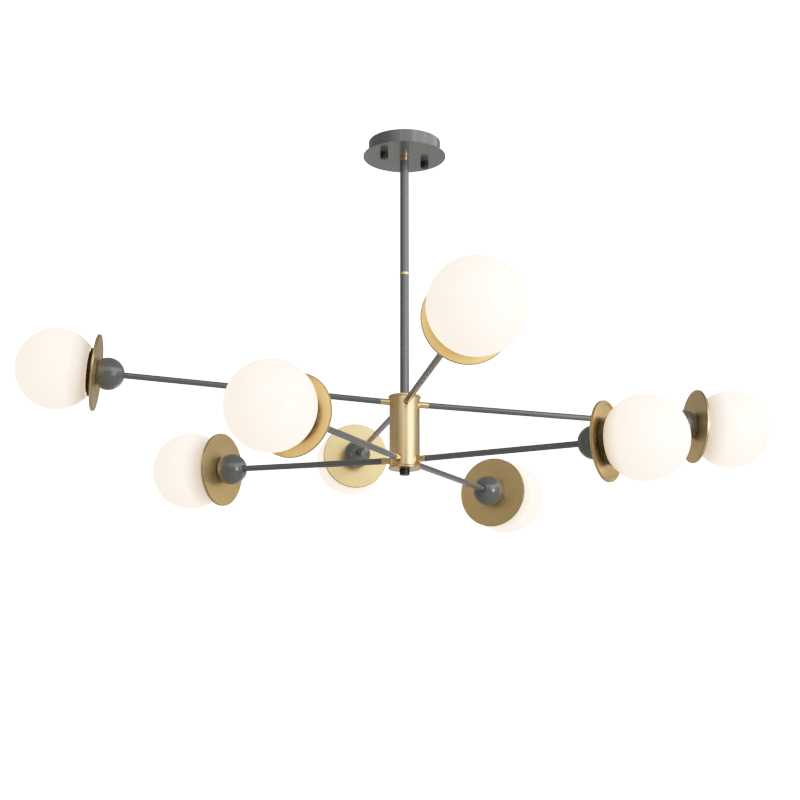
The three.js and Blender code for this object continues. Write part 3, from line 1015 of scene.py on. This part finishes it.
# Arm collar in the hub's wall and the tube on it; heights run out along the arm
collar = {
    "sides": 48, "radius": 4.95, "bore": 1.8,
    "threadEnd": 13.2, "threadRound": 0.5, "end": 36, "endRound": 0.4,
    "flangeRadius": 5.4, "flangeHeight": 1.6, "flangeRound": 0.35,
    "spigotRadius": 3.0, "spigotEnd": 46, "spigotRound": 0.3,
    "nutRadius": 6.2, "nutBottom": 14.93, "nutTop": 18.43, "nutGap": 0.05,
}
tube = {"sides": 48, "radius": 4.75, "bore": 3.45, "start": 36.3, "endBeforeGlobe": 88.27, "edge": 0.3}


def makeArmRods():
    master = turnPiece("armCollar", [
        (collar["bore"], collar["threadEnd"]),
        (collar["radius"], collar["threadEnd"], collar["threadRound"]),
        (collar["radius"], collar["end"] - collar["flangeHeight"]),
        (collar["flangeRadius"], collar["end"] - collar["flangeHeight"], collar["flangeRound"]),
        (collar["flangeRadius"], collar["end"], collar["endRound"]),
        (collar["spigotRadius"], collar["end"]),
        (collar["spigotRadius"], collar["spigotEnd"], collar["spigotRound"]),
        (collar["bore"], collar["spigotEnd"]),
    ], collar["sides"])
    finishShape(master)
    nutBore = collar["radius"] + collar["nutGap"]
    nutMaster = makeHexNut("armLockNut", collar["nutRadius"], nutBore, collar["nutBottom"], collar["nutTop"])
    for place, arm in arms.items():
        piece = copyPiece(master, "armCollar" + wordsFor(place))
        piece.data.transform(alongArm(arm, 0))
        dress(piece, "satin_brass", "stem_and_arms", "arm_collar_" + place)
        piece = copyPiece(nutMaster, "armLockNut" + wordsFor(place))
        piece.data.transform(alongArm(arm, 0))
        dress(piece, "zinc_steel", "stem_and_arms")
        end = arm["reach"] - tube["endBeforeGlobe"]
        piece = turnPiece("armTube" + wordsFor(place), [
            (tube["bore"], tube["start"]),
            (tube["radius"], tube["start"], tube["edge"]),
            (tube["radius"], end, tube["edge"]),
            (tube["bore"], end),
        ], tube["sides"])
        finishShape(piece)
        piece.data.transform(alongArm(arm, 0))
        dress(piece, "grey_paint", "stem_and_arms", "arm_tube_" + place)
    bpy.data.objects.remove(master)
    bpy.data.objects.remove(nutMaster)


# Ball, disc, gallery, lamp and globe of an arm, each about its own centre or seat
ball = {
    "radius": 24.3, "flat": 15.2, "bore": 5.05, "beforeGlobe": 75.5, "segments": 72, "rings": 48,
    "mouth": 5.9, "mouthFlare": 1.2, "mouthDepth": 0.8, "mouthEnd": 1.6, "overrun": 2, "toolSides": 48,
    "edgeRound": 0.5,
}
disc = {
    "radius": 57, "thickness": 1.4, "bore": 5.05, "lipHeight": 2.6, "lipWall": 1.3,
    "backRound": 1.0, "lipRound": 0.35, "insideRound": 0.7, "sides": 168, "beforeGlobe": 58.6,
}
gallery = {
    "sides": 120, "seat": 0.3, "backRadius": 32, "backRound": 0.5, "frontRadius": 36.2, "frontRound": 0.4,
    "height": 10.3, "floor": 2.6, "floorRound": 1.0,
    "spigotRadius": 30.75, "spigotWall": 2, "rim": 19.8, "rimRound": 0.6,
    "nippleRadius": 4.75, "nippleBore": 2, "nippleEnd": -12.4, "nippleRound": 0.3,
    "holderRadius": 11, "holderHeight": 22.1, "holderRound": 0.8,
    "vents": 10, "ventRadius": 1.4, "ventPlace": (34.6, 6.2), "ventLean": 24, "ventTurn": 16, "ventDepth": 20,
}
# The base has a narrow waist, measured down from the base's top
lamp = {
    "sides": 48, "bottom": 22.4, "baseRadius": 7.2, "baseTop": 30.6, "baseRound": 0.6,
    "waistStart": 3, "waistMiddle": 2.4, "waistEnd": 1.8, "waistDepth": 0.6, "gap": 0.3,
    "glassRadius": 8.0, "glassTop": 64.6, "glassInset": 0.4,
    "shoulder": 3, "shoulderRound": 0.8, "domeRound": 7.6,
}
globe = {"radius": 60, "wall": 2.5, "mouth": -48, "lipRound": 0.9, "segments": 128, "rings": 96}


def makeBall():
    startFresh()
    bpy.ops.mesh.primitive_uv_sphere_add(
        segments=ball["segments"], ring_count=ball["rings"], radius=ball["radius"] * mm,
    )
    piece = named("ball")
    bpy.ops.object.mode_set(mode="EDIT")
    bpy.ops.mesh.select_all(action="SELECT")
    flat = (0, 0, ball["flat"] * mm)
    bpy.ops.mesh.bisect(plane_co=flat, plane_no=(0, 0, 1), use_fill=True, clear_outer=True)
    back = -ball["radius"]
    tool = turnPiece("ballTool", [
        (0, back - ball["overrun"]), (ball["mouth"] + ball["mouthFlare"], back - ball["overrun"]),
        (ball["mouth"], back + ball["mouthDepth"]), (ball["bore"], back + ball["mouthEnd"]),
        (ball["bore"], ball["radius"]), (0, ball["radius"]),
    ], ball["toolSides"])
    cutWith(piece, [tool])
    roundEdges(piece, ball["edgeRound"], steps=3, angle=35)
    return finishShape(piece)


def makeDisc():
    # a shallow spun dish: a flat floor and a lip turned up towards the globe
    piece = turnPiece("disc", [
        (disc["bore"], -disc["thickness"]),
        (disc["radius"], -disc["thickness"], disc["backRound"]),
        (disc["radius"], disc["lipHeight"], disc["lipRound"]),
        (disc["radius"] - disc["lipWall"], disc["lipHeight"], disc["lipRound"]),
        (disc["radius"] - disc["lipWall"], 0, disc["insideRound"]),
        (disc["bore"], 0),
    ], disc["sides"])
    return finishShape(piece)


def makeGallery():
    cup = gallery["spigotRadius"] - gallery["spigotWall"]
    piece = turnPiece("gallery", [
        (0, gallery["floor"]),
        (gallery["nippleBore"], gallery["floor"]),
        (gallery["nippleBore"], gallery["nippleEnd"]),
        (gallery["nippleRadius"], gallery["nippleEnd"], gallery["nippleRound"]),
        (gallery["nippleRadius"], gallery["seat"]),
        (gallery["backRadius"], gallery["seat"], gallery["backRound"]),
        (gallery["frontRadius"], gallery["height"], gallery["frontRound"]),
        (gallery["spigotRadius"], gallery["height"]),
        (gallery["spigotRadius"], gallery["rim"], gallery["rimRound"]),
        (cup, gallery["rim"], gallery["rimRound"]),
        (cup, gallery["floor"], gallery["floorRound"]),
        (gallery["holderRadius"], gallery["floor"], gallery["holderRound"]),
        (gallery["holderRadius"], gallery["holderHeight"], gallery["holderRound"]),
        (0, gallery["holderHeight"]),
    ], gallery["sides"])
    tools = []
    for number in range(gallery["vents"]):
        tool = addCylinder("ventTool", gallery["ventRadius"], gallery["ventDepth"], (0, 0, 0), sides=20)
        angle = math.radians(gallery["ventTurn"]) + 2 * math.pi * number / gallery["vents"]
        radius, height = gallery["ventPlace"]
        tool.data.transform(
            Matrix.Rotation(angle, 4, "Z")
            @ Matrix.Translation((radius * mm, 0, height * mm))
            @ Matrix.Rotation(math.radians(-gallery["ventLean"]), 4, "Y")
        )
        tools.append(tool)
    cutWith(piece, tools)
    return finishShape(piece)


def makeLampBase():
    piece = turnPiece("lampBase", [
        (0, lamp["bottom"]),
        (lamp["baseRadius"], lamp["bottom"], lamp["baseRound"]),
        (lamp["baseRadius"], lamp["baseTop"] - lamp["waistStart"]),
        (lamp["baseRadius"] - lamp["waistDepth"], lamp["baseTop"] - lamp["waistMiddle"]),
        (lamp["baseRadius"], lamp["baseTop"] - lamp["waistEnd"]),
        (lamp["baseRadius"], lamp["baseTop"] - lamp["gap"]),
        (0, lamp["baseTop"] - lamp["gap"]),
    ], lamp["sides"])
    return finishShape(piece)


def makeLampGlassShape():
    piece = turnPiece("lampGlass", [
        (0, lamp["baseTop"]),
        (lamp["baseRadius"] - lamp["glassInset"], lamp["baseTop"]),
        (lamp["glassRadius"], lamp["baseTop"] + lamp["shoulder"], lamp["shoulderRound"]),
        (lamp["glassRadius"], lamp["glassTop"], lamp["domeRound"]),
        (0, lamp["glassTop"]),
    ], lamp["sides"], roundSteps=8)
    return finishShape(piece)


def makeGlobe():
    startFresh()
    bpy.ops.mesh.primitive_uv_sphere_add(
        segments=globe["segments"], ring_count=globe["rings"], radius=globe["radius"] * mm,
    )
    piece = named("globe")
    bpy.ops.object.mode_set(mode="EDIT")
    bpy.ops.mesh.select_all(action="SELECT")
    bpy.ops.mesh.bisect(plane_co=(0, 0, globe["mouth"] * mm), plane_no=(0, 0, 1), clear_inner=True)
    applyModifier(piece, "SOLIDIFY", thickness=globe["wall"] * mm, offset=-1, use_even_offset=True)
    roundEdges(piece, globe["lipRound"], steps=4, angle=50)
    return finishShape(piece, weighted=False)


def makeArmEnds():
    masters = {
        "ball": (makeBall(), "grey_paint", -ball["beforeGlobe"]),
        "disc": (makeDisc(), "satin_brass", -disc["beforeGlobe"]),
        "gallery": (makeGallery(), "black_gallery", -disc["beforeGlobe"]),
        "lampBase": (makeLampBase(), "black_gallery", -disc["beforeGlobe"]),
        "lampGlass": (makeLampGlassShape(), "opal_glass", -disc["beforeGlobe"]),
        "globe": (makeGlobe(), "opal_glass", 0),
    }
    for place, arm in arms.items():
        for name, (master, slot, station) in masters.items():
            piece = copyPiece(master, name + wordsFor(place))
            piece.data.transform(alongArm(arm, arm["reach"] + station))
            body = "globe_body_" + place if name == "globe" else "stem_and_arms"
            nodes = [] if name.startswith("lamp") else [name + "_" + place]
            dress(piece, slot, body, *nodes, finish=ownFinishes.get(name))
    for master, slot, station in masters.values():
        bpy.data.objects.remove(master)


makeArmRods()
print("arms made")
makeArmEnds()
print("arm ends made")
